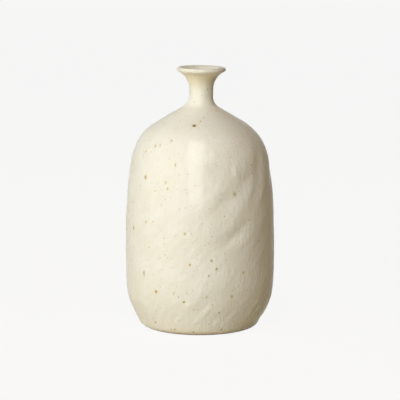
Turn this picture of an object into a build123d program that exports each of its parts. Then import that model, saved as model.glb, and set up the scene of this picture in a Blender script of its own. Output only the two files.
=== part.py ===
from build123d import *

import os
from math import atan2, cos, pi, radians, sin, sqrt, tan

# A stoneware bottle vase: a barrel body, a domed shoulder, a thin neck and a small flared lip.
# Millimetres. It stands on z = 0, its axis is Z, and every section is drawn as radius and height.

# Outside of the body, measured over the glaze
belly_radius = 63.2
belly_height = 49.0
upright_height = 36.0
heel_inset = 14.0
heel_round = 10.0

# Outside of the shoulder
upper_wall_height = 78.5
shoulder_inset = 9.6
shoulder_rise = 24.5
shoulder_round = 43.0

# Outside of the neck and lip
neck_radius = 10.2
neck_height = 13.0
neck_root_round = 12.0
flare_height = 19.0
lip_radius = 20.9

# Thicknesses, with the glaze on both faces
body_thickness = 6.0
neck_thickness = 3.9
floor_thickness = 8.5
glaze_thickness = 0.5

# Foot and inside
foot_ring_width = 9.0
foot_recess_depth = 2.5
foot_recess_draft = 1.5
glaze_line_height = 1.5
floor_round = 9.0
throat_round = 10.0

# Seams between the clay pieces
shoulder_seam_rise = 45.0
neck_seat_drop = 2.0
spigot_thickness = 3.0
seam_angle = 45.0

# How far a cutting outline runs past what it cuts
overrun = 5.0

# Heights, stacked from the table up
upright_top = belly_height + upright_height
shoulder_height = upright_top + upper_wall_height
neck_root_height = shoulder_height + shoulder_rise
flare_start = neck_root_height + neck_height
overall_height = flare_start + flare_height
floor_height = foot_recess_depth + floor_thickness

# Corners of the outside, before they are rounded
foot_corner_radius = belly_radius - heel_inset
shoulder_corner_radius = belly_radius - shoulder_inset
bore_radius = neck_radius - neck_thickness

# The wall is two arcs that leave the upright stretch without a corner, so their radii follow
lower_wall_radius = (belly_height**2 + heel_inset**2) / (heel_inset + heel_inset)
upper_wall_radius = (upper_wall_height**2 + shoulder_inset**2) / (shoulder_inset + shoulder_inset)

# Where the heel's round leaves the table
heel_lean = 2 * atan2(heel_inset, belly_height)
foot_edge_radius = foot_corner_radius - heel_round * tan((pi / 2 - heel_lean) / 2)
foot_recess_radius = foot_edge_radius - foot_ring_width

# The lip is a full round as thick as the neck's wall. The flare is one arc that leaves the neck
# upright and runs into that round.
lip_round = neck_thickness / 2
lip_center_radius = lip_radius - lip_round
lip_center_height = overall_height - lip_round
lip_reach = lip_center_radius - neck_radius
lip_rise = lip_center_height - flare_start
flare_radius = (lip_reach**2 + lip_rise**2 - lip_round**2) / (2 * (lip_reach + lip_round))
flare_lean = atan2(lip_rise, flare_radius - lip_reach)
lip_under = (
    lip_center_radius + lip_round * cos(flare_lean),
    lip_center_height - lip_round * sin(flare_lean),
)
lip_over = (
    lip_center_radius - lip_round * cos(flare_lean),
    lip_center_height + lip_round * sin(flare_lean),
)

# Seams, given where they meet the inside of the clay
clay_depth = body_thickness - glaze_thickness
base_seam_height = floor_height + floor_round
base_seam_radius = (
    belly_radius
    - lower_wall_radius
    + sqrt((lower_wall_radius - clay_depth) ** 2 - (belly_height - base_seam_height) ** 2)
)
shoulder_seam_height = upright_top + shoulder_seam_rise
shoulder_seam_radius = (
    belly_radius
    - upper_wall_radius
    + sqrt((upper_wall_radius - clay_depth) ** 2 - shoulder_seam_rise**2)
)
seam_lean = tan(radians(seam_angle))
neck_seat_height = neck_root_height - neck_seat_drop
spigot_radius = bore_radius + glaze_thickness + spigot_thickness
spigot_bottom = neck_seat_height - body_thickness - body_thickness

# Limits that every cutting outline reaches
reach = belly_radius + overrun
top = overall_height + overrun

# Outside of the whole vase, as if it were solid
with BuildSketch() as silhouette:
    with BuildLine():
        base = Line((0, 0), (foot_corner_radius, 0))
        TangentArc((belly_radius, belly_height), base @ 1, tangent=(0, -1))
        upright = Line((belly_radius, belly_height), (belly_radius, upright_top))
        shoulder_corner = (shoulder_corner_radius, shoulder_height)
        upper_wall = TangentArc(upright @ 1, shoulder_corner, tangent=(0, 1))
        slope = Line(upper_wall @ 1, (neck_radius, neck_root_height))
        neck_side = Line(slope @ 1, (neck_radius, flare_start))
        flare = TangentArc(neck_side @ 1, lip_under, tangent=(0, 1))
        TangentArc(lip_under, lip_over, tangent=flare % 1)
        Polyline(lip_over, (0, lip_over[1]), (0, 0))
    make_face()
    fillet(silhouette.vertices().sort_by_distance(base @ 1)[0], heel_round)
    fillet(silhouette.vertices().sort_by_distance(slope @ 0)[0], shoulder_round)
    fillet(silhouette.vertices().sort_by_distance(slope @ 1)[0], neck_root_round)
    mirror(about=Plane.YZ)

# The space inside, from the floor up through the straight throat and the mouth
with BuildSketch() as cavity:
    add(silhouette.sketch)
    Rectangle(reach + reach, flare_start, align=(Align.CENTER, Align.MIN), mode=Mode.INTERSECT)
    offset(amount=-body_thickness)
    with Locations((0, floor_height)):
        Rectangle(reach + reach, flare_start, align=(Align.CENTER, Align.MIN), mode=Mode.INTERSECT)
    with Locations((0, flare_start)):
        throat_length = flare_start - spigot_bottom
        Rectangle(bore_radius + bore_radius, throat_length, align=(Align.CENTER, Align.MAX))
    with BuildLine():
        TangentArc((bore_radius, flare_start), lip_over, tangent=(0, 1))
        Polyline(lip_over, (lip_over[0], top), (0, top), (0, flare_start), (bore_radius, flare_start))
    make_face()
    mirror(about=Plane.YZ)
    fillet(cavity.vertices().group_by(Axis.Y)[0], floor_round)
    upright_sides = cavity.edges().filter_by(Axis.Y)
    throat_side = upright_sides.sort_by(lambda side: abs(side.center().X - bore_radius))[0]
    fillet(throat_side.vertices().group_by(Axis.Y)[0], throat_round)

# The same space before its glaze: the inside faces of the clay
with BuildSketch() as clay_cavity:
    add(cavity.sketch)
    offset(amount=glaze_thickness)

# The outside faces of the clay. Below the glaze line the clay is bare and comes out to the surface.
with BuildSketch() as clay_outside:
    add(silhouette.sketch)
    offset(amount=-glaze_thickness)
    with BuildSketch(mode=Mode.PRIVATE) as bare_foot:
        add(silhouette.sketch)
        with Locations((0, glaze_line_height)):
            Rectangle(reach + reach, top, align=(Align.CENTER, Align.MAX), mode=Mode.INTERSECT)
    add(bare_foot.sketch)

# The liner covers the floor, the walls and the straight throat
with BuildSketch() as liner:
    add(clay_cavity.sketch)
    add(cavity.sketch, mode=Mode.SUBTRACT)
    Rectangle(reach, flare_start, align=(Align.MIN, Align.MIN), mode=Mode.INTERSECT)

# The shallow recess inside the foot ring
with BuildSketch() as foot_recess:
    with BuildLine():
        Polyline(
            (0, 0),
            (foot_recess_radius, 0),
            (foot_recess_radius - foot_recess_draft, foot_recess_depth),
            (0, foot_recess_depth),
            close=True,
        )
    make_face()

# All the clay, in half section
with BuildSketch() as clay:
    add(clay_outside.sketch)
    add(clay_cavity.sketch, mode=Mode.SUBTRACT)
    add(foot_recess.sketch, mode=Mode.SUBTRACT)
    Rectangle(reach, top, align=(Align.MIN, Align.MIN), mode=Mode.INTERSECT)

# What lies under the bevelled rim of the base, where the wall is set
with BuildSketch() as base_zone:
    with BuildLine():
        Polyline(
            (0, 0),
            (reach, 0),
            (reach, base_seam_height + seam_lean * (reach - base_seam_radius)),
            (base_seam_radius, base_seam_height),
            (0, base_seam_height),
            close=True,
        )
    make_face()

# What lies over the bevelled rim of the wall, where the shoulder is set like a lid
with BuildSketch() as shoulder_zone:
    with BuildLine():
        Polyline(
            (0, shoulder_seam_height),
            (shoulder_seam_radius, shoulder_seam_height),
            (reach, shoulder_seam_height - seam_lean * (reach - shoulder_seam_radius)),
            (reach, top),
            (0, top),
            close=True,
        )
    make_face()

# The neck with its spigot, which drops into the opening of the shoulder
with BuildSketch() as neck_zone:
    with BuildLine():
        Polyline(
            (0, spigot_bottom),
            (spigot_radius, spigot_bottom),
            (spigot_radius, neck_seat_height),
            (reach, neck_seat_height),
            (reach, top),
            (0, top),
            close=True,
        )
    make_face()

with BuildPart() as base_slab:
    with BuildSketch(Plane.XZ):
        add(clay.sketch_local)
        add(base_zone.sketch_local, mode=Mode.INTERSECT)
    revolve(axis=Axis.Z)

with BuildPart() as body_wall:
    with BuildSketch(Plane.XZ):
        add(clay.sketch_local)
        add(base_zone.sketch_local, mode=Mode.SUBTRACT)
        add(shoulder_zone.sketch_local, mode=Mode.SUBTRACT)
    revolve(axis=Axis.Z)

with BuildPart() as shoulder:
    with BuildSketch(Plane.XZ):
        add(clay.sketch_local)
        add(shoulder_zone.sketch_local, mode=Mode.INTERSECT)
        add(neck_zone.sketch_local, mode=Mode.SUBTRACT)
    revolve(axis=Axis.Z)

with BuildPart() as neck:
    with BuildSketch(Plane.XZ):
        add(clay.sketch_local)
        add(neck_zone.sketch_local, mode=Mode.INTERSECT)
    revolve(axis=Axis.Z)

with BuildPart() as inner_glaze:
    with BuildSketch(Plane.XZ):
        add(liner.sketch_local)
    revolve(axis=Axis.Z)

# The outer coat starts over the bare foot, turns over the lip and meets the liner at the throat
with BuildPart() as outer_glaze:
    with BuildSketch(Plane.XZ):
        add(silhouette.sketch_local)
        add(cavity.sketch_local, mode=Mode.SUBTRACT)
        add(foot_recess.sketch_local, mode=Mode.SUBTRACT)
        add(clay.sketch_local, mode=Mode.SUBTRACT)
        add(liner.sketch_local, mode=Mode.SUBTRACT)
        with Locations((0, glaze_line_height)):
            Rectangle(reach, top, align=(Align.MIN, Align.MIN), mode=Mode.INTERSECT)
    revolve(axis=Axis.Z)

pieces = {
    "base_slab": base_slab,
    "body_wall": body_wall,
    "shoulder": shoulder,
    "neck": neck,
    "outer_glaze": outer_glaze,
    "inner_glaze": inner_glaze,
}

os.makedirs("parts", exist_ok=True)
for name, piece in pieces.items():
    piece.part.label = name
    export_step(piece.part, f"parts/{name}.step")

print("overall height", round(overall_height, 2), "width", round(belly_radius + belly_radius, 2))
print("bore", round(bore_radius + bore_radius, 2), "flare start", round(flare_start, 2))
print("foot edge", round(foot_edge_radius, 2), "recess", round(foot_recess_radius, 2))
print("flare radius", round(flare_radius, 2), "lip under", lip_under, "lip over", lip_over)
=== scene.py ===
# %% [markdown]
# # A speckled stoneware bottle vase
#
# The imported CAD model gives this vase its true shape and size: four clay pieces and two coats of glaze, all
# turned about one upright axis. Blender adds what a drawing leaves out: the soft dents of clay worked by
# hand, a satin cream glaze with iron specks burnt through it, and the light of a plain studio.
#
# The lesson goes from the shape to the finish and then to the picture. Blender counts in metres, so `mm`
# turns a potter's millimetres into those.

import math
from collections import namedtuple

import bmesh
import bpy
import numpy as np
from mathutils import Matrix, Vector


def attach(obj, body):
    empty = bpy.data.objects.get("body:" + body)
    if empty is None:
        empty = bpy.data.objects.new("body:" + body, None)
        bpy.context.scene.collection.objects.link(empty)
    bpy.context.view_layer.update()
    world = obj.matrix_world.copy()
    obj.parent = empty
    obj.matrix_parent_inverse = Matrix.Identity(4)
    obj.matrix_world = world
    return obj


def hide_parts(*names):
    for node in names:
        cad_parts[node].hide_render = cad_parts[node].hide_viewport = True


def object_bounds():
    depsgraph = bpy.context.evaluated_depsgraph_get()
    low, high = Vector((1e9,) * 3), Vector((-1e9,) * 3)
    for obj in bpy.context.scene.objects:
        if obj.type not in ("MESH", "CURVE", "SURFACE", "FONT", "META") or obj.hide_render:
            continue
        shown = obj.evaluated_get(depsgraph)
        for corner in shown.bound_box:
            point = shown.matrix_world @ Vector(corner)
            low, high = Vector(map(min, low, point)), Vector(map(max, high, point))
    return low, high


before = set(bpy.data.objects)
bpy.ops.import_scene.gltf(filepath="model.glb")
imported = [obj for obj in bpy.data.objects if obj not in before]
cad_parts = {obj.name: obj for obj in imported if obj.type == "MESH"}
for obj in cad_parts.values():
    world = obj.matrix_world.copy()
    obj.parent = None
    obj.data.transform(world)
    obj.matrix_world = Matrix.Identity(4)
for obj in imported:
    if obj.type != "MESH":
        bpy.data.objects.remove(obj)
cad_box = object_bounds()
mm = 0.001
vase_height = cad_box[1].z
belly_radius = cad_box[1].x
print("CAD pieces:", ", ".join(sorted(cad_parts)))
print("height and belly radius in mm:", round(vase_height / mm, 1), round(belly_radius / mm, 1))

# %% [markdown]
# ## Slicing a piece
#
# A turned pot is one outline swept round an axis, so the outline is all that is needed of each CAD piece. It
# could be drawn again by hand, but a second drawing drifts from the first. Here a copy of the piece is sliced
# instead, as a potter slices a test pot to look at its wall: one cut throws the left half away, and a second
# cut, with both of its sides thrown away, leaves only the outline of the right half.

# %% Slice a CAD piece and walk round its outline
weld_gap = 0.001 * mm
across = (1, 0, 0)
towards_back = (0, 1, 0)


def slice_piece(node):
    """The right half of a CAD piece's section as (radius, height) points in order, and whether it closes."""
    copy = bmesh.new()
    copy.from_mesh(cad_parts[node].data)
    bmesh.ops.remove_doubles(copy, verts=copy.verts, dist=weld_gap)
    for normal, both_sides in ((across, False), (towards_back, True)):
        everything = copy.verts[:] + copy.edges[:] + copy.faces[:]
        bmesh.ops.bisect_plane(
            copy,
            geom=everything,
            dist=weld_gap,
            plane_no=normal,
            clear_inner=True,
            clear_outer=both_sides,
        )
    loose_ends = [point for point in copy.verts if len(point.link_edges) == 1]
    here = loose_ends[0] if loose_ends else copy.verts[:][0]
    walked = [here]
    last_edge = None
    while len(walked) < len(copy.verts):
        last_edge = next(edge for edge in here.link_edges if edge != last_edge)
        here = last_edge.other_vert(here)
        walked.append(here)
    outline = np.array([(point.co.x, point.co.z) for point in walked])
    copy.free()
    print(node, "outline:", len(outline), "points,", "open" if loose_ends else "closed")
    return outline, not loose_ends


sections = {node: slice_piece(node) for node in sorted(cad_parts)}

# %% [markdown]
# ## From facets to a smooth line
#
# The CAD mesh rounds its curves with short flat facets, and a glossy glaze would show each one as a band.
# Corner cutting smooths such a line: every inner point gives way to two, a quarter of the way along the
# facets beside it. The new line never leaves the old one's hull, so the vase can't grow. True corners, such
# as the edge of the foot, are kept by cutting only the runs between them.

# %% Find the true corners and cut the rest
corner_turn = math.radians(30)
cutting_rounds = 3
cut_share = 0.25


def short_way(angle):
    """The same angle, measured the short way round."""
    return (angle + math.pi) % (2 * math.pi) - math.pi


def bends_along(line):
    """The angle that a line turns through at each of its inner points."""
    steps = np.diff(line, axis=0)
    heading = np.arctan2(steps[:, 1], steps[:, 0])
    return np.abs(short_way(np.diff(heading)))


def runs_between_corners(outline, closed):
    """The outline as a list of runs that start and end at true corners."""
    bends = bends_along(np.vstack([outline[-1:], outline, outline[:1]]))
    corners = [place for place, bend in enumerate(bends) if bend > corner_turn]
    if closed:
        outline = np.roll(outline, -corners[0], axis=0)
        outline = np.vstack([outline, outline[:1]])
        corners = [place - corners[0] for place in corners]
    corners = sorted({0, len(outline) - 1, *corners})
    return [outline[start : end + 1] for start, end in zip(corners, corners[1:])]


def cut_corners(run):
    """The run with its facets rounded off and its two ends kept."""
    for _ in range(cutting_rounds):
        near = (1 - cut_share) * run[:-1] + cut_share * run[1:]
        far = cut_share * run[:-1] + (1 - cut_share) * run[1:]
        rounded = np.stack([near, far], axis=1).reshape(-1, 2)
        rounded[0], rounded[-1] = run[0], run[-1]
        run = rounded
    return run


smooth_runs = {}
for node, section in sections.items():
    smooth_runs[node] = [cut_corners(run) for run in runs_between_corners(*section)]
    print(node, "runs between corners:", len(smooth_runs[node]))

# %% [markdown]
# ## Spacing the rings
#
# Each point of an outline will become a ring round the vase. Even spacing would crowd the long wall or starve
# the small round of the lip. Here the rings are spaced by length and by bend together, so each place gets as
# many as it needs.

# %% Space the rings
ring_gap = 2.2 * mm
ring_bend = math.radians(9)


def space_rings(run):
    """Points along the run, evenly spaced by length and bend together."""
    lengths = np.linalg.norm(np.diff(run, axis=0), axis=1)
    bends = np.append(bends_along(run), 0.0)
    along = np.concatenate([[0.0], np.cumsum(lengths / ring_gap + bends / ring_bend)])
    stations = np.linspace(0.0, along[-1], math.ceil(along[-1]) + 1)
    return np.column_stack([np.interp(stations, along, side) for side in run.T])


def ring_outline(node):
    """A CAD piece's outline, smooth and evenly ringed, and whether it closes."""
    closed = sections[node][1]
    runs = [space_rings(run) for run in smooth_runs[node]]
    points = np.vstack([run[:-1] for run in runs] + ([] if closed else [runs[-1][-1:]]))
    return points, closed


outlines = {node: ring_outline(node) for node in sections}
for node, (points, _) in outlines.items():
    print(node, "rings:", len(points))

# %% [markdown]
# ## The marks of the hands
#
# Nobody's hands leave a wall as true as a lathe does. The photograph shows long slanting waves from
# smoothing, a thumb groove at the right of the belly with the clay it pushed aside, softer presses round it,
# and a belly that is fuller low down than the drawing.
#
# Sculpting would shape the coat alone and leave the clay behind it straight. Here one smooth field moves
# every point of every piece by where the point is. Neighbours move together, so the seams stay shut and the
# glaze stays on the clay. A place on the vase is given as a turn in degrees, where 0 faces the camera and 90
# is to the right, and as a height above the table. A press with a depth below zero stands out.

# %% Name the presses that the photograph shows
Press = namedtuple("Press", "turn height length width lean depth")
presses = {
    "thumb groove": Press(26, 84 * mm, 15 * mm, 7.0 * mm, 30, 1.40 * mm),
    "groove under the olive speck": Press(38, 128 * mm, 26 * mm, 8.0 * mm, 42, 0.70 * mm),
    "hollow over the thumb groove": Press(19, 112 * mm, 11 * mm, 9.0 * mm, 55, 0.65 * mm),
    "knuckle on the upper right": Press(30, 138 * mm, 5 * mm, 4.0 * mm, 80, -0.45 * mm),
    "knuckle by the highlight": Press(12, 151 * mm, 5 * mm, 5.0 * mm, 60, -0.25 * mm),
    "hollow under that knuckle": Press(13, 139 * mm, 6 * mm, 5.0 * mm, 10, 0.25 * mm),
    "valley at the right edge": Press(55, 135 * mm, 22 * mm, 7.0 * mm, 70, 0.80 * mm),
    "smoothed band on the left": Press(-28, 128 * mm, 32 * mm, 9.0 * mm, 52, 0.30 * mm),
    "palm press on the left": Press(-38, 84 * mm, 22 * mm, 12.0 * mm, 35, 0.25 * mm),
    "ripple over the heel": Press(9, 31 * mm, 18 * mm, 5.5 * mm, 48, 0.28 * mm),
    "second ripple over the heel": Press(-2, 24 * mm, 16 * mm, 5.0 * mm, 40, 0.25 * mm),
    "hollow in the heel": Press(10, 14 * mm, 10 * mm, 6.0 * mm, 15, 0.60 * mm),
    "full belly low on the left": Press(-90, 27 * mm, 50 * mm, 15.0 * mm, 0, -1.2 * mm),
    "full belly low on the right": Press(92, 25 * mm, 40 * mm, 13.0 * mm, 0, -0.9 * mm),
    "full shoulder on the left": Press(-90, 164 * mm, 40 * mm, 9.0 * mm, 0, -0.8 * mm),
}
print("presses in the photograph:", len(presses))

# %% [markdown]
# The far side of the vase isn't in the photograph, but the same hands made it. A seeded dice gives it presses
# of the same kind, each between a least and a most, so every run makes the same vase.

# %% Throw a seeded dice for the far side
hand_seed = 7
dice = np.random.default_rng(hand_seed)
far_side_presses = 16
far_least = Press(turn=75, height=20, length=9, width=5, lean=25, depth=0.2)
far_most = Press(turn=285, height=145, length=28, width=10, lean=60, depth=0.6)
far_units = Press(turn=1, height=mm, length=mm, width=mm, lean=1, depth=mm)
for count in range(far_side_presses):
    sizes = zip(far_least, far_most, far_units)
    far_press = Press(*(dice.uniform(least, most) * unit for least, most, unit in sizes))
    presses["far side " + str(count + 1)] = far_press
print("presses with the far side:", len(presses))

# %% [markdown]
# Between the presses the wall isn't still. Smoothing leaves long low waves, and the flat of the fingers
# leaves short pats. Noise would do for both, but it has no grain, and these marks climb to the right, as a
# right hand moves. So each is a sum of slanting sines, a whole number of them round the vase, and the field
# closes on itself.
#
# A press is a smooth hollow, and the clay that it pushes aside stands up along its two long sides.

# %% Work out how far the clay is pushed in or out
Waves = namedtuple("Waves", "amount counts slopes height")
smoothing = Waves(9, (2, 9), (0.5, 1.6), 0.16 * mm)
patting = Waves(14, (18, 44), (0.4, 1.8), 0.12 * mm)
pat_seed = 31
pat_dice = np.random.default_rng(pat_seed)
pushed_aside = 0.8


def throw_waves(thrower, kind):
    """Waves of one kind: how many go round, how steeply they climb, and where each starts."""
    return [
        (thrower.integers(*kind.counts), thrower.uniform(*kind.slopes), thrower.uniform(0, 2 * math.pi))
        for _ in range(kind.amount)
    ]


def slanting_waves(kind, thrown, turn, height):
    """How far waves of one kind stand out at each place."""
    total = np.zeros_like(turn)
    for count, slope, start in thrown:
        climb = height / (belly_radius * slope)
        total += np.sin(count * (turn - climb) + start)
    return kind.height * total / math.sqrt(kind.amount)


def press_depth(press, turn, height):
    """How deep one press goes at each place, below zero where the clay rises beside it."""
    sideways = short_way(turn - math.radians(press.turn)) * belly_radius
    upward = height - press.height
    lean = math.radians(press.lean)
    along = (sideways * math.cos(lean) + upward * math.sin(lean)) / press.length
    over = (upward * math.cos(lean) - sideways * math.sin(lean)) / press.width
    return press.depth * (1 - pushed_aside * over**2) * np.exp(-(along**2) - over**2)


smoothing_waves = throw_waves(dice, smoothing)
pats = throw_waves(pat_dice, patting)
print("smoothing waves and pats:", len(smoothing_waves), len(pats))

# %% [markdown]
# The presses, waves and pats are one push, in or out. It fades away towards the flat foot and the axis, and
# the pats die away below the smooth shoulder. The whole push starts a little inwards, so that the vase stays
# inside its stated size.

# %% Add up the push of the hands
true_foot = 4 * mm
worked_wall = 20 * mm
still_core = 28 * mm
patted_from = 95 * mm
patted_to = 155 * mm
inward_room = 0.38 * mm


def ease(low, high, value):
    """A smooth step from 0 at low to 1 at high."""
    share = np.clip((value - low) / (high - low), 0.0, 1.0)
    return share * share * (3 - 2 * share)


def push_out(turn, radius, height):
    """How far the hands pushed each place outwards, below zero where they pushed it in."""
    push = slanting_waves(smoothing, smoothing_waves, turn, height) - inward_room
    push += slanting_waves(patting, pats, turn, height) * (1 - ease(patted_from, patted_to, height))
    for press in presses.values():
        push -= press_depth(press, turn, height)
    share = ease(true_foot, worked_wall, height) * ease(0.0, still_core, radius)
    return push * share


print("the push fades out below, in mm:", round(worked_wall / mm, 1))

# %% [markdown]
# Larger movements finish the field. The shoulder shifts to the right and domes up, the heel tucks in on the
# right, the neck leans, and the lip dips towards the camera and a little to the right. Each could be a
# modifier of its own, but then every piece would need the same stack. Here they are lines of one function
# that takes points and gives back where the hands moved them to.

# %% Bring the movements together in one field
fuller_shoulder = 0.3 * mm
shoulder_middle = 161 * mm
shoulder_spread = 6 * mm
domed_shoulder = 1.15 * mm
dome_middle = 182 * mm
dome_spread = 14 * mm
heel_tuck = 1.8 * mm
heel_middle = 6 * mm
heel_spread = 5 * mm
neck_lean = 1.1 * mm
lean_from = 178 * mm
lean_to = 200 * mm
lip_dip = math.radians(1.4)
dip_turn = math.radians(25)
dip_from = 203 * mm
lip_reach = 21 * mm


def swell(height, middle, spread):
    """A smooth hump over the height, 1 at its middle."""
    return np.exp(-(((height - middle) / spread) ** 2))


def hand_formed(points):
    """The places that the hands moved these points to."""
    across_axis, depth_axis, height = points.T
    turn = np.arctan2(across_axis, -depth_axis)
    push = push_out(turn, np.hypot(across_axis, depth_axis), height)
    tuck = heel_tuck * swell(height, heel_middle, heel_spread) * ease(0.0, belly_radius, across_axis)
    dip = lip_reach + across_axis * math.sin(dip_turn) - depth_axis * math.cos(dip_turn)
    dip *= math.tan(lip_dip)
    moved = points.copy()
    moved[:, 0] += push * np.sin(turn)
    moved[:, 1] -= push * np.cos(turn)
    moved[:, 0] += fuller_shoulder * swell(height, shoulder_middle, shoulder_spread)
    moved[:, 0] += neck_lean * ease(lean_from, lean_to, height)
    moved[:, 0] -= tuck
    moved[:, 2] += domed_shoulder * swell(height, dome_middle, dome_spread)
    moved[:, 2] -= dip * ease(dip_from, vase_height, height)
    return moved


def swing_round(radius, angle, height):
    """A place on the vase, from its radius, its angle round the axis and its height."""
    return (radius * math.sin(angle), -radius * math.cos(angle), height)


groove = presses["thumb groove"]
true_wall = np.array([swing_round(belly_radius, math.radians(groove.turn), groove.height)])
groove_move = np.linalg.norm(hand_formed(true_wall) - true_wall)
print("the thumb groove moves the wall by, in mm:", round(groove_move / mm, 2))

# %% [markdown]
# ## The potter's wheel
#
# A ring of points at each station, joined to the next ring, makes a mesh of even four-sided faces. Blender's
# Spin tool would do the sweep too, but here each ring has to go through the hands before the faces are laid.
# An outline that reaches the axis, like the floor's, ends in a single middle point with a fan of triangles.

# %% Sweep an outline round the axis
wheel_steps = 240
axis_gap = 0.01 * mm


def sweep_outline(outline, closed):
    """The points and the faces of an outline swept once round the axis."""
    angles = np.arange(wheel_steps) * 2 * math.pi / wheel_steps
    points = []
    rings = []
    for radius, height in outline:
        steps = 1 if radius < axis_gap else wheel_steps
        rings.append(range(len(points), len(points) + steps))
        points.extend(swing_round(radius, angle, height) for angle in angles[:steps])
    faces = []
    pairs = list(zip(rings, rings[1:])) + ([(rings[-1], rings[0])] if closed else [])
    for lower, upper in pairs:
        for step in range(wheel_steps):
            onward = (step + 1) % wheel_steps
            if len(lower) == 1:
                faces.append((lower[0], upper[onward], upper[step]))
            elif len(upper) == 1:
                faces.append((lower[step], lower[onward], upper[0]))
            else:
                faces.append((lower[step], lower[onward], upper[onward], upper[step]))
    return points, faces


print("points in a ring:", wheel_steps)

# %% [markdown]
# The swept points go through the hands, the faces are turned outwards, and the shading is smooth but for true
# corners. The piece then takes its finish and rides on the vase's one body, and the CAD piece that it
# replaces is hidden.

# %% Turn a piece on the wheel
crease_angle = math.radians(40)


def put_in_scene(name, data):
    """A new object in the scene, made from a mesh, a lamp or a camera."""
    thing = bpy.data.objects.new(name, data)
    bpy.context.scene.collection.objects.link(thing)
    return thing


def turn_piece(name, node, finish):
    """Sweeps a CAD piece's outline, shapes it by hand, finishes it and puts it in the CAD piece's place."""
    points, faces = sweep_outline(*outlines[node])
    mesh = bpy.data.meshes.new(name)
    mesh.from_pydata(hand_formed(np.array(points)), [], faces)
    shell = bmesh.new()
    shell.from_mesh(mesh)
    bmesh.ops.recalc_face_normals(shell, faces=shell.faces)
    shell.to_mesh(mesh)
    shell.free()
    mesh.shade_smooth()
    mesh.set_sharp_from_angle(angle=crease_angle)
    mesh.materials.append(finish)
    piece = put_in_scene(name, mesh)
    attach(piece, "root")
    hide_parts(node)
    print(name, "turned:", len(points), "points,", len(faces), "faces")


print("edges stay sharp over, in degrees:", round(math.degrees(crease_angle)))

# %% [markdown]
# ## Tools for finishes
#
# A finish in Blender is a tree of nodes. Written out one by one, the nodes and links of a glaze would fill
# pages, so four short helpers keep the trees readable: one adds any node and feeds each input from a plain
# value or from another node, and the others are the three nodes that these finishes use most. The Mix node
# keeps sockets for several kinds of value side by side, so its colour sockets are known by their numbers.

# %% Helpers for nodes
mix_share, mix_first, mix_second, mix_result = 0, 6, 7, 2


def add_node(tree, kind, inputs=None, **settings):
    """A new node. Each input takes a plain value, or the socket that feeds it."""
    node = tree.nodes.new(kind)
    for name, value in settings.items():
        setattr(node, name, value)
    for name, value in (inputs or {}).items():
        if isinstance(value, bpy.types.NodeSocket):
            tree.links.new(value, node.inputs[name])
        else:
            node.inputs[name].default_value = value
    return node


def sum_up(tree, operation, first, second=0.0):
    """The result of one Math node."""
    return add_node(tree, "ShaderNodeMath", {0: first, 1: second}, operation=operation).outputs[0]


def fade(tree, value, low, high, at_low=0.0, at_high=1.0):
    """A value brought smoothly from one range into another."""
    inputs = {"Value": value, "From Min": low, "From Max": high, "To Min": at_low, "To Max": at_high}
    return add_node(tree, "ShaderNodeMapRange", inputs, interpolation_type="SMOOTHSTEP").outputs[0]


def blend_colour(tree, share, first, second):
    """The first colour, with a share of the second laid over it."""
    inputs = {mix_share: share, mix_first: first, mix_second: second}
    return add_node(tree, "ShaderNodeMix", inputs, data_type="RGBA").outputs[mix_result]


print("node helpers ready")

# %% [markdown]
# A node group is a recipe with named inputs and outputs. The same clay lies under every coat, so its specks,
# its mottling and its grain are groups, built once, that all three finishes share with their own amounts.

# %% Helpers for node groups
def start_group(name, inputs, outputs):
    """An empty node group with its named sockets: the group, what comes in, and what goes out."""
    group = bpy.data.node_groups.new(name, "ShaderNodeTree")
    for label, value in inputs.items():
        kind = "NodeSocketVector" if value is None else "NodeSocketFloat"
        socket = group.interface.new_socket(name=label, in_out="INPUT", socket_type=kind)
        if value is not None:
            socket.default_value = value
    for label in outputs:
        group.interface.new_socket(name=label, in_out="OUTPUT", socket_type="NodeSocketFloat")
    way_in = group.nodes.new("NodeGroupInput")
    way_out = group.nodes.new("NodeGroupOutput")
    return group, way_in.outputs, way_out


def lay(tree, group, place, **amounts):
    """Places a node group in a tree with its own amounts, and gives back its outputs."""
    inputs = {"Place": place}
    for label, value in amounts.items():
        inputs[label.capitalize()] = value
    return add_node(tree, "ShaderNodeGroup", inputs, node_tree=group).outputs


print("group helpers ready")

# %% [markdown]
# ## Iron specks
#
# Grains of iron in the clay melt in the kiln and bleed up through the glaze as brown dots with a tan halo.
# Painting each by hand would take a day, so a cell texture scatters points through space, one to a cell. A
# share of the cells is picked by the cell's random colour, each with its own size and tone, and a little
# noise makes the edges ragged. The points lie in the solid clay, not on its skin, so the surface cuts them
# at different depths and no two dots are alike.

# %% Group: scattered iron specks
ragged_noise = {"Scale": 900.0, "Detail": 2.0}
noise_middle = (0.5, 0.5, 0.5)
scatter_ragged = 1.0 * mm
smallest_grain = 0.45
core_edge = (0.55, 1.0)
halo_edge = (0.7, 2.0)


def shift_ragged(tree, place, reach):
    """The place, pushed about by fine noise so that what is drawn there gets ragged edges."""
    noise = add_node(tree, "ShaderNodeTexNoise", {"Vector": place, **ragged_noise})
    push = {0: noise.outputs["Color"], 1: noise_middle}
    push = add_node(tree, "ShaderNodeVectorMath", push, operation="SUBTRACT").outputs[0]
    inputs = {0: push, 1: (reach, reach, reach), 2: place}
    return add_node(tree, "ShaderNodeVectorMath", inputs, operation="MULTIPLY_ADD").outputs[0]


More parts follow.
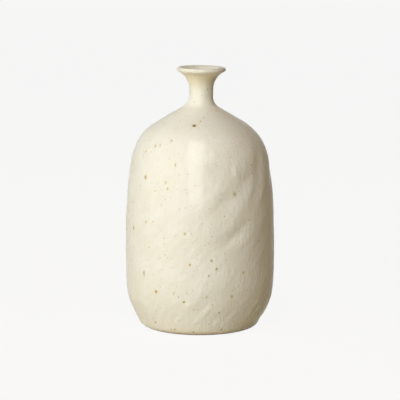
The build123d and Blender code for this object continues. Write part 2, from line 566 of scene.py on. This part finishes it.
def make_speck_group():
    """Masks for the dark middle and the halo of scattered specks, and a random tone for each."""
    inputs = {"Place": None, "Spacing": 7 * mm, "Size": 0.1, "Share": 0.5, "Tall": 1.0}
    group, given, result = start_group("scattered specks", inputs, ["Core", "Halo", "Tone"])
    place = shift_ragged(group, given["Place"], scatter_ragged)
    squash = sum_up(group, "DIVIDE", 1.0, given["Tall"])
    shape = add_node(group, "ShaderNodeCombineXYZ", {0: 1.0, 1: 1.0, 2: squash}).outputs[0]
    place = add_node(group, "ShaderNodeVectorMath", {0: place, 1: shape}, operation="MULTIPLY").outputs[0]
    density = sum_up(group, "DIVIDE", 1.0, given["Spacing"])
    cells = add_node(group, "ShaderNodeTexVoronoi", {"Vector": place, "Scale": density})
    dice_throw = add_node(group, "ShaderNodeSeparateColor", {"Color": cells.outputs["Color"]}).outputs
    picked = sum_up(group, "LESS_THAN", dice_throw["Red"], given["Share"])
    grain = fade(group, dice_throw["Green"], 0.0, 1.0, smallest_grain, 1.0)
    radius = sum_up(group, "MULTIPLY", grain, given["Size"])
    near = sum_up(group, "DIVIDE", cells.outputs["Distance"], radius)
    for label, edge in (("Core", core_edge), ("Halo", halo_edge)):
        mask = sum_up(group, "MULTIPLY", fade(group, near, *edge, 1.0, 0.0), picked)
        group.links.new(mask, result.inputs[label])
    group.links.new(dice_throw["Blue"], result.inputs["Tone"])
    return group


speck_group = make_speck_group()
print("group ready:", speck_group.name)

# %% [markdown]
# ## Streaks, strokes, mottling and grain
#
# The glaze was brushed on in upright strokes and ran a little in the kiln, so its colour has fine vertical
# streaks and its skin has short strokes: noise drawn out along the height, far or a little. Where the coat is
# thicker it turns paler, which is a soft mottling, and a fine grain breaks the gloss. Painted pictures would
# need unwrapping and would show a seam. All four are plain noise instead, at their own scale in metres on the
# vase, so they stay put from every side.

# %% Groups: streaks, strokes, mottling and grain
def make_noise_group(name, stretch, detail, roughness):
    """A noise value from 0 to 1 whose patches have a stated width, drawn out along some axes."""
    group, given, result = start_group(name, {"Place": None, "Width": 5 * mm}, ["Amount"])
    inputs = {0: given["Place"], 1: stretch}
    drawn = add_node(group, "ShaderNodeVectorMath", inputs, operation="MULTIPLY").outputs[0]
    density = sum_up(group, "DIVIDE", 1.0, given["Width"])
    inputs = {"Vector": drawn, "Scale": density, "Detail": detail, "Roughness": roughness}
    noise = add_node(group, "ShaderNodeTexNoise", inputs)
    group.links.new(noise.outputs[0], result.inputs["Amount"])
    return group


streak_group = make_noise_group("brush streaks", stretch=(1.0, 1.0, 0.07), detail=3.0, roughness=0.55)
stroke_group = make_noise_group("brush strokes", stretch=(1.0, 1.0, 0.4), detail=2.0, roughness=0.5)
mottle_group = make_noise_group("mottling", stretch=(1.0, 1.0, 1.0), detail=4.0, roughness=0.6)
grain_group = make_noise_group("skin grain", stretch=(1.0, 1.0, 1.0), detail=2.0, roughness=0.5)
print("groups ready:", ", ".join(group.name for group in bpy.data.node_groups))

# %% [markdown]
# ## A base for every finish
#
# All three finishes start alike: a material whose nodes read the vase's own coordinates, and a Principled
# shader that holds the plain values. Clay and satin glaze shine less than a gloss paint, so their specular
# level is under the usual one half. A fine relief goes in as a bump, since it is finer than the mesh's rings
# could hold.

# %% Start a finish
def bare_tree(owner):
    """The empty node tree of a material or a world."""
    owner.use_nodes = True
    owner.node_tree.nodes.clear()
    return owner.node_tree


def start_finish(name, specular):
    """A material with its shader: the material, its tree, the place on the vase, and the shader."""
    finish = bpy.data.materials.new(name)
    tree = bare_tree(finish)
    shader = add_node(tree, "ShaderNodeBsdfPrincipled", {"Specular IOR Level": specular})
    add_node(tree, "ShaderNodeOutputMaterial", {"Surface": shader.outputs[0]})
    place = add_node(tree, "ShaderNodeTexCoord").outputs["Object"]
    return finish, tree, place, shader


def roughen(tree, shader, relief, depth):
    """Gives a shader's skin a fine relief, from a value that runs from 0 to 1."""
    bump = add_node(tree, "ShaderNodeBump", {"Height": relief, "Distance": depth})
    tree.links.new(bump.outputs[0], shader.inputs["Normal"])


print("finishes start with a Principled shader")

# %% [markdown]
# ## Bare stoneware
#
# The foot ring stays bare, so that the vase doesn't stick to the kiln shelf, and it shows what the clay is: a
# warm sandy brown, dry to the touch, with the same iron grains that speckle the glaze. One flat brown would
# look like plastic, so two browns are mottled together, and a fine grain roughens them.

# %% Finish: bare stoneware
clay_pale = (0.60, 0.49, 0.36, 1.0)
clay_dark = (0.47, 0.36, 0.25, 1.0)
clay_iron = (0.10, 0.06, 0.035, 1.0)
clay_specular = 0.2
clay_patch = 9 * mm
patch_edge = (0.3, 0.7)
clay_specks = {"spacing": 4 * mm, "size": 0.12, "share": 0.5}
clay_roughness = (0.78, 0.9)
sand_width = 0.6 * mm
sand_depth = 0.2 * mm


def make_stoneware():
    """Dry fired clay with a sandy grain."""
    finish, tree, place, shader = start_finish("bare stoneware", clay_specular)
    patches = lay(tree, mottle_group, place, width=clay_patch)["Amount"]
    specks = lay(tree, speck_group, place, **clay_specks)
    colour = blend_colour(tree, fade(tree, patches, *patch_edge), clay_dark, clay_pale)
    colour = blend_colour(tree, specks["Core"], colour, clay_iron)
    tree.links.new(colour, shader.inputs["Base Color"])
    tree.links.new(fade(tree, patches, *patch_edge, *clay_roughness), shader.inputs["Roughness"])
    roughen(tree, shader, lay(tree, grain_group, place, width=sand_width)["Amount"], sand_depth)
    return finish


stoneware = make_stoneware()
print("finish ready:", stoneware.name)

# %% [markdown]
# ## The specks in the photograph
#
# Most specks can fall where the dice puts them, but some are so plain in the photograph that the vase
# wouldn't be this vase without them. Each of those has a name, a turn and a height, a width, how much taller
# than wide it is, and how bold. They come in four kinds, from burnt brown to orange.

# %% Name the plain specks
Speck = namedtuple("Speck", "turn height width tall bold")
burnt_specks = {
    "bold one under the neck": Speck(-7.5, 173 * mm, 3.0 * mm, 1.0, 1.0),
    "small one under the neck": Speck(1, 176 * mm, 1.4 * mm, 1.2, 0.5),
    "middle of the belly": Speck(-11.5, 88 * mm, 2.0 * mm, 1.0, 0.5),
    "right of the middle": Speck(8.5, 66 * mm, 2.1 * mm, 1.0, 0.5),
    "low on the left": Speck(-12.5, 31 * mm, 1.7 * mm, 1.0, 0.9),
    "tall one on the left": Speck(-47.5, 52 * mm, 2.0 * mm, 2.2, 0.5),
    "low in the middle": Speck(6.5, 53.5 * mm, 1.5 * mm, 1.3, 0.5),
    "low on the right": Speck(15.5, 21.5 * mm, 1.4 * mm, 1.0, 0.7),
    "edge of the heel": Speck(-6, 4 * mm, 1.6 * mm, 1.2, 0.6),
    "heel on the left": Speck(-43, 10 * mm, 1.8 * mm, 1.2, 0.5),
    "heel, left of a pair": Speck(-27, 5.2 * mm, 1.5 * mm, 1.2, 0.6),
    "heel, right of a pair": Speck(-23.5, 5.6 * mm, 1.6 * mm, 1.2, 0.7),
    "heel on the right": Speck(20, 6 * mm, 1.5 * mm, 1.2, 0.6),
}
tan_specks = {
    "left of the shoulder": Speck(-28.5, 162 * mm, 2.0 * mm, 1.3, 0.5),
    "shoulder, left of a pair": Speck(-44.5, 157 * mm, 2.0 * mm, 1.2, 0.4),
    "shoulder, right of a pair": Speck(-39, 158 * mm, 1.7 * mm, 1.2, 0.35),
    "far left of the shoulder": Speck(-54.5, 152 * mm, 1.7 * mm, 1.2, 0.45),
    "tall one under the shoulder": Speck(-20.5, 143.5 * mm, 1.5 * mm, 2.4, 0.45),
    "bold one on the upper left": Speck(-49, 131.5 * mm, 2.6 * mm, 1.4, 0.65),
    "upper of two": Speck(-28, 129 * mm, 2.0 * mm, 1.4, 0.3),
    "lower of two": Speck(-26, 124 * mm, 1.6 * mm, 1.3, 0.5),
    "left of the belly": Speck(-45.5, 95 * mm, 1.8 * mm, 1.2, 0.5),
    "right of the lower belly": Speck(25, 35 * mm, 1.9 * mm, 1.4, 0.6),
    "above the heel": Speck(-5, 24.5 * mm, 1.4 * mm, 1.0, 0.4),
}
olive_specks = {
    "olive one on the right": Speck(28, 119.5 * mm, 3.0 * mm, 1.3, 0.5),
    "olive one in the middle": Speck(-7.5, 62.5 * mm, 1.7 * mm, 1.3, 0.7),
    "olive one right of the middle": Speck(12.5, 59 * mm, 1.9 * mm, 1.0, 0.7),
    "olive one lower down": Speck(5, 35.5 * mm, 1.9 * mm, 1.3, 0.35),
    "olive one on the left": Speck(-20.5, 38 * mm, 1.7 * mm, 1.5, 0.35),
}
orange_specks = {
    "orange one at the left edge": Speck(-61.5, 88 * mm, 2.2 * mm, 1.4, 0.7),
    "orange one on the right": Speck(34.5, 54 * mm, 2.0 * mm, 1.1, 0.5),
    "orange one on the lower left": Speck(-35.5, 38 * mm, 2.2 * mm, 1.2, 0.85),
}
speck_kinds = (burnt_specks, tan_specks, olive_specks, orange_specks)
print("plain specks of each kind:", [len(kind) for kind in speck_kinds])

# %% [markdown]
# A speck has to sit on the skin of the glaze, dents and all. The coat's outline runs up its outside and down
# its inside, so at each height the largest radius is the skin. That radius is swung round to the speck's turn
# and sent through the same hands as the coat itself.

# %% Find a place on the glaze
coat_outline = outlines["outer_glaze"][0]


def on_glaze(turn, height):
    """The point on the outside of the glaze at a turn and a height."""
    crossings = []
    following = np.roll(coat_outline, -1, axis=0)
    for (near_radius, near_height), (far_radius, far_height) in zip(coat_outline, following):
        if min(near_height, far_height) <= height < max(near_height, far_height):
            share = (height - near_height) / (far_height - near_height)
            crossings.append(near_radius + share * (far_radius - near_radius))
    point = swing_round(max(crossings), math.radians(turn), height)
    return hand_formed(np.array([point]))[0]


bold_speck = burnt_specks["bold one under the neck"]
print("bold speck at, in mm:", (on_glaze(bold_speck.turn, bold_speck.height) / mm).round(1))

# %% [markdown]
# A named speck is drawn by its distance from the middle: dark within, and a ring of bled iron round it that
# fades into the cream. A tall speck is squashed before the distance is taken.

# %% Draw the plain specks
middle_edge = (0.2, 0.65)
bleed_edge = (0.3, 1.2)
bleed_share = 0.7


def draw_round(tree, distance, width, edge, strength):
    """A mask that fades from a strength to nothing across an edge given in widths of the speck."""
    near, far = edge
    return fade(tree, distance, near * width, far * width, strength, 0.0)


def plain_specks(tree, place, specks):
    """Two masks for named specks: the middle of each, and the ring where its iron has bled."""
    middles = 0.0
    bleeds = 0.0
    for speck in specks.values():
        shape = Vector((1.0, 1.0, 1.0 / speck.tall))
        middle = Vector(on_glaze(speck.turn, speck.height)) * shape
        inputs = {0: place, 1: shape, 2: -middle}
        offset = add_node(tree, "ShaderNodeVectorMath", inputs, operation="MULTIPLY_ADD").outputs[0]
        distance = add_node(tree, "ShaderNodeVectorMath", {0: offset}, operation="LENGTH").outputs["Value"]
        dot = draw_round(tree, distance, speck.width, middle_edge, speck.bold)
        ring = draw_round(tree, distance, speck.width, bleed_edge, bleed_share * speck.bold)
        middles = sum_up(tree, "MAXIMUM", dot, middles)
        bleeds = sum_up(tree, "MAXIMUM", ring, bleeds)
    return middles, bleeds


print("a speck bleeds out to, in its own widths:", bleed_edge[1])

# %% [markdown]
# ## The colour of the cream glaze
#
# This is the finish that the eye meets first: a pale warm cream. The colour is laid down in the order of the
# real coat. First come the thick and thin patches, then the brush streaks. Near the glaze line, where the
# potter's sponge has thinned the coat, the clay shows through. Under the lip, where the flare faces down, a
# yellow-brown band is partly glaze that has run together there and partly painted shade. Then come the
# scattered specks with their halos and the small freckles between them, and the plain specks last.

# %% Lay the colour of the cream glaze
cream_thick = (0.87, 0.842, 0.715, 1.0)
cream_thin = (0.83, 0.790, 0.645, 1.0)
streak_colour = (0.70, 0.62, 0.46, 1.0)
halo_colour = (0.76, 0.60, 0.24, 1.0)
burnt_colour = (0.12, 0.07, 0.025, 1.0)
tan_colour = (0.36, 0.28, 0.09, 1.0)
olive_colour = (0.33, 0.27, 0.07, 1.0)
orange_colour = (0.48, 0.20, 0.05, 1.0)
speck_tones = (burnt_colour, tan_colour, olive_colour, orange_colour)
streak_width = 2.6 * mm
streak_edge = (0.4, 0.75)
streak_share = 0.15
thin_edge = (0.0, 5.0 * mm)
thin_share = 0.45
# A yellow-brown band under the lip: partly glaze run together there, partly painted shade where the flare
# faces down.
lip_pool_and_shade_below = (200 * mm, 209 * mm)
lip_pool_and_shade_above = (213 * mm, 216.5 * mm)
lip_pool_and_shade_share = 0.3
glaze_specks = {"spacing": 6.5 * mm, "size": 0.11, "share": 0.6}
glaze_freckles = {"spacing": 2.8 * mm, "size": 0.17, "share": 0.95, "tall": 1.6}
glaze_halo_share = 0.35
glaze_dot_share = 0.5
plain_ragged = 1.2 * mm


def glaze_colour(tree, place, patches, height):
    """The cream with its streaks, its thin edge, its band of run glaze and painted shade under the lip, and
    all its specks.
    """
    streaks = lay(tree, streak_group, place, width=streak_width)["Amount"]
    specks = lay(tree, speck_group, place, **glaze_specks)
    freckles = lay(tree, speck_group, place, **glaze_freckles)
    ragged = shift_ragged(tree, place, plain_ragged)
    # Painted shade under the lip's flare, where it faces down, mixed with glaze that has run together there.
    lip_pool_and_shade = fade(tree, height, *lip_pool_and_shade_above, lip_pool_and_shade_share, 0.0)
    lip_pool_and_shade = sum_up(tree, "MULTIPLY", lip_pool_and_shade, fade(tree, height, *lip_pool_and_shade_below))
    halo = sum_up(tree, "MULTIPLY", specks["Halo"], glaze_halo_share)
    colour = blend_colour(tree, fade(tree, patches, *patch_edge), cream_thin, cream_thick)
    colour = blend_colour(tree, fade(tree, streaks, *streak_edge, 0.0, streak_share), colour, streak_colour)
    colour = blend_colour(tree, fade(tree, height, *thin_edge, thin_share, 0.0), colour, clay_pale)
    for share in (lip_pool_and_shade, halo):
        colour = blend_colour(tree, share, colour, halo_colour)
    for dots in (freckles, specks):
        tone = blend_colour(tree, dots["Tone"], tan_colour, burnt_colour)
        colour = blend_colour(tree, sum_up(tree, "MULTIPLY", dots["Core"], glaze_dot_share), colour, tone)
    for named, tone in zip(speck_kinds, speck_tones):
        middles, bleeds = plain_specks(tree, ragged, named)
        colour = blend_colour(tree, bleeds, colour, halo_colour)
        colour = blend_colour(tree, middles, colour, tone)
    return colour


print("glaze colours: 2 creams, 1 streak, 1 halo and", len(speck_tones), "speck tones")

# %% [markdown]
# ## The gloss and the skin of the cream glaze
#
# A satin glaze has a blurred gloss with a thin clear one over it, which draws the upright highlight. On the
# photographed vase neither shines at the edges, where a plain shader shines most, so both fade as the skin
# slants away. The clear gloss also fades on the neck, which is duller in the photograph. The satin gloss is
# linked over a plain level. An export can't follow such a link, so the exported vase may come out shinier
# than this picture.
#
# The brush leaves a low relief of strokes, stronger on some patches and calm on the shoulder, with the grain
# over it.

# %% Finish: cream glaze
satin_specular = 0.25
satin_slant = (0.05, 0.55)
satin_gloss = (0.20, 0.03)
satin_roughness = (0.28, 0.22)
clear_gloss = (0.8, 0.0)
clear_blur = 0.10
clear_below = (165 * mm, 182 * mm)
clear_on_neck = 0.1
coat_patch = 18 * mm
stroke_width = 2.4 * mm
stroked_patches = (0.42, 0.62)
stroked_below = (145 * mm, 165 * mm)
stroked_above = 0.1
calm_share = 0.25
grain_width = 1.2 * mm
grain_share = 0.15
relief_depth = 0.42 * mm


def glaze_gloss(tree, shader, height):
    """Lays the satin gloss and the clear one over it, both weaker where the skin slants away."""
    slant = add_node(tree, "ShaderNodeLayerWeight").outputs["Facing"]
    satin = fade(tree, slant, *satin_slant, *satin_gloss)
    clear = fade(tree, slant, *satin_slant, *clear_gloss)
    clear = sum_up(tree, "MULTIPLY", clear, fade(tree, height, *clear_below, 1.0, clear_on_neck))
    tree.links.new(satin, shader.inputs["Specular IOR Level"])
    tree.links.new(clear, shader.inputs["Coat Weight"])
    shader.inputs["Coat Roughness"].default_value = clear_blur


def glaze_relief(tree, place, patches, height):
    """The strokes of the brush and the grain of the skin, as a height from 0 to about 1."""
    grain = lay(tree, grain_group, place, width=grain_width)["Amount"]
    strokes = lay(tree, stroke_group, place, width=stroke_width)["Amount"]
    worked = fade(tree, patches, *stroked_patches)
    worked = sum_up(tree, "MULTIPLY", worked, fade(tree, height, *stroked_below, 1.0, stroked_above))
    strokes = sum_up(tree, "MULTIPLY", strokes, fade(tree, worked, 0.0, 1.0, calm_share, 1.0))
    return sum_up(tree, "ADD", strokes, sum_up(tree, "MULTIPLY", grain, grain_share))


def make_cream_glaze():
    """Satin cream with streaks, mottling and iron specks."""
    finish, tree, place, shader = start_finish("cream glaze", satin_specular)
    patches = lay(tree, mottle_group, place, width=coat_patch)["Amount"]
    height = add_node(tree, "ShaderNodeSeparateXYZ", {0: place}).outputs["Z"]
    tree.links.new(glaze_colour(tree, place, patches, height), shader.inputs["Base Color"])
    tree.links.new(fade(tree, patches, *patch_edge, *satin_roughness), shader.inputs["Roughness"])
    glaze_gloss(tree, shader, height)
    roughen(tree, shader, glaze_relief(tree, place, patches, height), relief_depth)
    return finish


cream_glaze = make_cream_glaze()
print("finish ready:", cream_glaze.name, "with", len(cream_glaze.node_tree.nodes), "nodes")

# %% [markdown]
# ## The liner glaze
#
# The inside is glazed so that the vase holds water. It was poured in and out, not brushed, so it has no
# streaks, and it is a little darker than the coat outside. The cream could be used again, but only the mouth
# shows, and a plainer finish from the same groups is enough there.

# %% Finish: liner glaze
liner_thick = (0.79, 0.72, 0.57, 1.0)
liner_thin = (0.70, 0.61, 0.45, 1.0)
liner_specular = 0.3
liner_patch = 22 * mm
liner_specks = {"spacing": 6.5 * mm, "size": 0.09, "share": 0.4}
liner_halo_share = 0.4
liner_dot_share = 0.7
liner_roughness = (0.45, 0.36)
liner_depth = 0.1 * mm


def make_liner_glaze():
    """A poured satin glaze with the clay's specks."""
    finish, tree, place, shader = start_finish("liner glaze", liner_specular)
    patches = lay(tree, mottle_group, place, width=liner_patch)["Amount"]
    specks = lay(tree, speck_group, place, **liner_specks)
    halo = sum_up(tree, "MULTIPLY", specks["Halo"], liner_halo_share)
    dots = sum_up(tree, "MULTIPLY", specks["Core"], liner_dot_share)
    colour = blend_colour(tree, fade(tree, patches, *patch_edge), liner_thin, liner_thick)
    colour = blend_colour(tree, halo, colour, halo_colour)
    colour = blend_colour(tree, dots, colour, tan_colour)
    tree.links.new(colour, shader.inputs["Base Color"])
    tree.links.new(fade(tree, patches, *patch_edge, *liner_roughness), shader.inputs["Roughness"])
    roughen(tree, shader, lay(tree, grain_group, place, width=grain_width)["Amount"], liner_depth)
    return finish


liner_glaze = make_liner_glaze()
print("finish ready:", liner_glaze.name)

# %% [markdown]
# ## The base
#
# The first piece is the floor of the vase: a disc of clay with its edge pinched up into the heel, and a
# shallow recess underneath that leaves a ring to stand on. A plain disc would do for what shows, but the bare
# ring has to meet the table as the drawing says. It keeps its flat foot, because the field doesn't lift it.

# %% Turn the base
turn_piece("clay_base", "base_slab", stoneware)

# %% [markdown]
# ## The wall
#
# The barrel of the vase stands in the base's bevelled rim. It could be left out, since all of it is under
# glaze, but it is there, with the same dents as the coat, so a section through the vase shows a true wall.

# %% Turn the wall
turn_piece("clay_wall", "body_wall", stoneware)

# %% [markdown]
# ## The shoulder
#
# A dome closes the barrel like a lid. On the real vase it is the piece that was pushed a little to the right.
# One sweep could make it together with the wall, but it is a piece of its own, with its own seam.

# %% Turn the shoulder
turn_piece("clay_shoulder", "shoulder", stoneware)

# %% [markdown]
# ## The neck
#
# The thin neck sits in the shoulder's opening by a short spigot and flares out to the lip. Tilting it would
# open a gap at its foot, so it takes its lean and the dip of the lip from the field.

# %% Turn the neck
turn_piece("clay_neck", "neck", stoneware)

# %% [markdown]
# ## The liner
#
# The liner is a skin half a millimetre thick on the whole inside, up to the top of the straight throat. A
# second material on the clay would look the same, but the real coat has a thickness and an edge.

# %% Pour the liner
turn_piece("throat_liner", "inner_glaze", liner_glaze)

# %% [markdown]
# ## The cream coat
#
# The outer coat starts just above the foot, runs up over the lip and meets the liner in the throat. It is
# half a millimetre thick too, and nearly all that the camera sees. A Solidify modifier on the clay would give
# such a skin, but not one that ends where the liner begins.

# %% Brush on the coat
turn_piece("cream_coat", "outer_glaze", cream_glaze)

# %% [markdown]
# ## A pale floor
#
# The photograph has a plain pale ground. Turning the lamps up until a floor is that pale would burn the vase
# out, so the floor glows a little instead, but only for rays that look at it: from the camera, or by way of
# a gloss. Every other ray meets plain paint, which throws a little warm light back up. A share of that paint
# is always mixed in, so the vase keeps its shadow. The world beyond the floor's edge glows in the same way.

# %% Lay the floor and the world
ground_white = (1.0, 1.0, 1.0, 1.0)
floor_paint = (0.57, 0.485, 0.30, 1.0)
floor_glow = 0.91
floor_half = 20.0


def glow_share(tree):
    """The share of glow for rays that look straight at a thing or by way of a gloss or glass, else 0."""
    path = add_node(tree, "ShaderNodeLightPath").outputs
    seen = sum_up(tree, "MAXIMUM", path["Is Camera Ray"], path["Is Glossy Ray"])
    seen = sum_up(tree, "MAXIMUM", seen, path["Is Transmission Ray"])
    return sum_up(tree, "MULTIPLY", seen, floor_glow)


def make_floor():
    """A wide floor whose paint glows for looking rays and still takes a shadow."""
    finish = bpy.data.materials.new("floor paint")
    tree = bare_tree(finish)
    paint = add_node(tree, "ShaderNodeBsdfDiffuse", {"Color": floor_paint}).outputs[0]
    glow = add_node(tree, "ShaderNodeEmission", {"Color": ground_white}).outputs[0]
    mixed = add_node(tree, "ShaderNodeMixShader", {0: glow_share(tree), 1: paint, 2: glow}).outputs[0]
    add_node(tree, "ShaderNodeOutputMaterial", {"Surface": mixed})
    corners = [(-1, -1), (1, -1), (1, 1), (-1, 1)]
    mesh = bpy.data.meshes.new("floor")
    mesh.from_pydata([(x * floor_half, y * floor_half, 0.0) for x, y in corners], [], [(0, 1, 2, 3)])
    mesh.materials.append(finish)
    floor = put_in_scene("floor", mesh)


def make_world():
    """The same pale ground beyond the floor's edge, for looking rays alone."""
    world = bpy.data.worlds.new("studio")
    tree = bare_tree(world)
    glow = add_node(tree, "ShaderNodeBackground", {"Color": ground_white, "Strength": glow_share(tree)})
    add_node(tree, "ShaderNodeOutputWorld", {"Surface": glow.outputs[0]})
    bpy.context.scene.world = world


make_floor()
make_world()
print("floor half width in m:", floor_half)

# %% [markdown]
# ## Soft studio light
#
# The photograph's light comes from the left. One large lamp would be simpler, but it can't shade the belly
# softly and draw a narrow highlight at once. So a broad window to the side models the belly, a smaller one
# higher up lights the shoulder, and a tall softbox near the camera draws the upright highlight with its plain
# right edge. A little warm light falls from the ceiling on the right, and a lamp far behind lets the back be
# seen.
#
# A glaze mirrors every lamp, and the photograph has one highlight, so only the softbox may show in the gloss.
# A lamp's place is given as a turn round the vase, like everything else, with a rise above the table.

# %% Hang the lamps
vase_middle = Vector((0.0, 0.0, vase_height / 2))
Lamp = namedtuple("Lamp", "turn rise distance width height power colour glints")
lamps = {
    "side window": Lamp(-50, 11, 1.6, 1.8, 0.8, 17.1, (0.98, 1.0, 1.04), False),
    "high window": Lamp(-24, 46, 1.6, 1.2, 0.9, 3.8, (0.98, 1.0, 1.02), False),
    "tall softbox": Lamp(-8, 36, 2.0, 0.85, 2.8, 18.2, (0.95, 1.0, 1.07), True),
    "warm ceiling": Lamp(50, 62, 1.6, 1.4, 1.4, 3.2, (1.0, 0.5, 0.02), False),
    "back wall": Lamp(178, 8, 18.0, 8.0, 4.0, 1400.0, (1.0, 0.96, 0.88), False),
}


def stand(thing, target, turn, rise, distance):
    """Stands a lamp or a camera off a target, at a turn and a rise in degrees, and turns it to face there."""
    rise = math.radians(rise)
    away = Vector(swing_round(math.cos(rise), math.radians(turn), math.sin(rise)))
    thing.location = target + away * distance
    thing.rotation_euler = away.to_track_quat("Z", "Y").to_euler()


def hang_lamp(name, lamp):
    """A soft rectangular lamp that faces the vase."""
    light = bpy.data.lights.new(name, "AREA")
    light.shape = "RECTANGLE"
    light.size = lamp.width
    light.size_y = lamp.height
    light.energy = lamp.power
    light.color = lamp.colour
    hung = put_in_scene(name, light)
    stand(hung, vase_middle, lamp.turn, lamp.rise, lamp.distance)
    hung.visible_camera = False
    hung.visible_glossy = lamp.glints
    print(name, "hangs at", [round(side, 2) for side in hung.location])


for name, lamp in lamps.items():
    hang_lamp(name, lamp)

# %% [markdown]
# ## The camera
#
# The open ring of the lip is a thin ellipse in the photograph, and how thin it is tells how high the camera
# stood: about 8 degrees above level. A long lens from a metre and a half keeps the upright sides upright.

# %% Set up the camera
camera_turn = 0.0
camera_rise = 8.2
camera_distance = 1.5
lens_length = 159.5
look_height = 107.0 * mm

camera_data = bpy.data.cameras.new("camera")
camera_data.lens = lens_length
camera = put_in_scene("camera", camera_data)
stand(camera, Vector((0.0, 0.0, look_height)), camera_turn, camera_rise, camera_distance)
bpy.context.scene.camera = camera
bpy.context.scene.view_settings.view_transform = "Standard"
print("camera stands at", [round(side, 3) for side in camera.location])

# %% [markdown]
# ## Last measurements
#
# The CAD box is printed last, since the finish may not change the size.

# %% Print the CAD box
print("CAD box in mm:", [[round(side / mm, 2) for side in corner] for corner in cad_box])
